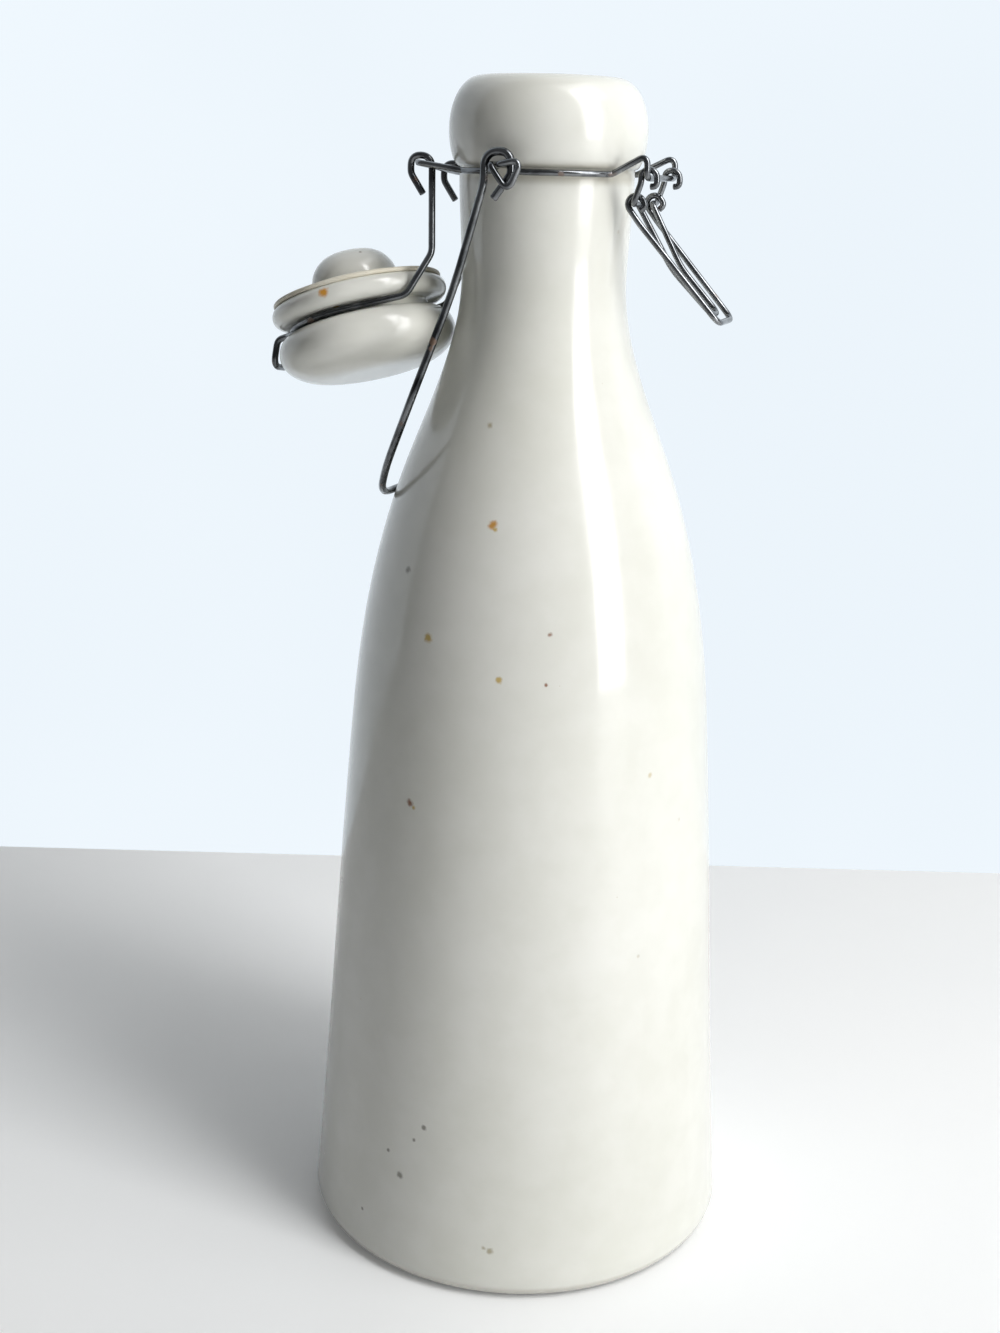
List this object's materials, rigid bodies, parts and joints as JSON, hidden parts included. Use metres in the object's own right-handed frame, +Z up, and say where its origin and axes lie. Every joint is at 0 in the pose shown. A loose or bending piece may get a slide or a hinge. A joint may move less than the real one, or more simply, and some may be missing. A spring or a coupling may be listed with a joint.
{
  "type": "swing-top bottle",
  "caption": "Tall white glazed ceramic bottle with a wire-held swing stopper, a wire latch and a long wire carrying handle.",
  "frame": {"origin": "centre of the bottle's base, on the surface that it stands on", "axes": "+Z up the bottle's axis, +X from the axis towards the latch, -X towards the stopper's hinge, +Y and -Y towards the handle's two eyelets"},
  "size_m": [0.1198, 0.1074, 0.285],
  "materials": {
    "bottle_glaze": "glossy white glaze with a few small brown specks",
    "stopper_glaze": "glossy white glaze with one orange spot",
    "gasket_rubber": "matt, yellowed cream",
    "neck_steel": "bright drawn wire, darkened with age",
    "bail_steel": "bright drawn wire, darkened with age",
    "handle_steel": "bright drawn wire, darkened with age",
    "latch_steel": "bright drawn wire, darkened with age"
  },
  "bodies": {
    "bottle": {"bottle_body": "bottle_glaze", "neck_wire": "neck_steel"},
    "bail": {"stopper_bail": "bail_steel"},
    "stopper": {"stopper_head": "stopper_glaze", "gasket": "gasket_rubber"},
    "handle": {"carry_handle": "handle_steel"},
    "lever": {"latch_lever": "latch_steel"},
    "pull_loop": {"latch_pull_loop": "latch_steel"}
  },
  "joints": [
    {"name": "stopper_swing", "type": "hinge", "parent": "bottle", "child": "bail", "pos_m": [-0.027, 0, 0.2647], "axis": [0, 0.9972, -0.075], "range_deg": [0, 197.5]},
    {"name": "stopper_turn", "type": "hinge", "parent": "bail", "child": "stopper", "pos_m": [-0.04405, -0.00484, 0.22926], "axis": [0.2999, -0.1461, -0.9427], "continuous": true},
    {"name": "handle_swing", "type": "hinge", "parent": "bottle", "child": "handle", "pos_m": [-0.003, 0, 0.2656], "axis": [0, 1, 0], "range_deg": [0, 309]},
    {"name": "lever_swing", "type": "hinge", "parent": "bottle", "child": "lever", "pos_m": [0.027, 0, 0.2636], "axis": [0, -1, 0], "range_deg": [-30, 75]},
    {"name": "pull_swing", "type": "hinge", "parent": "lever", "child": "pull_loop", "pos_m": [0.0236, 0, 0.258], "axis": [0, -1, 0], "range_deg": [0, 65]}
  ]
}
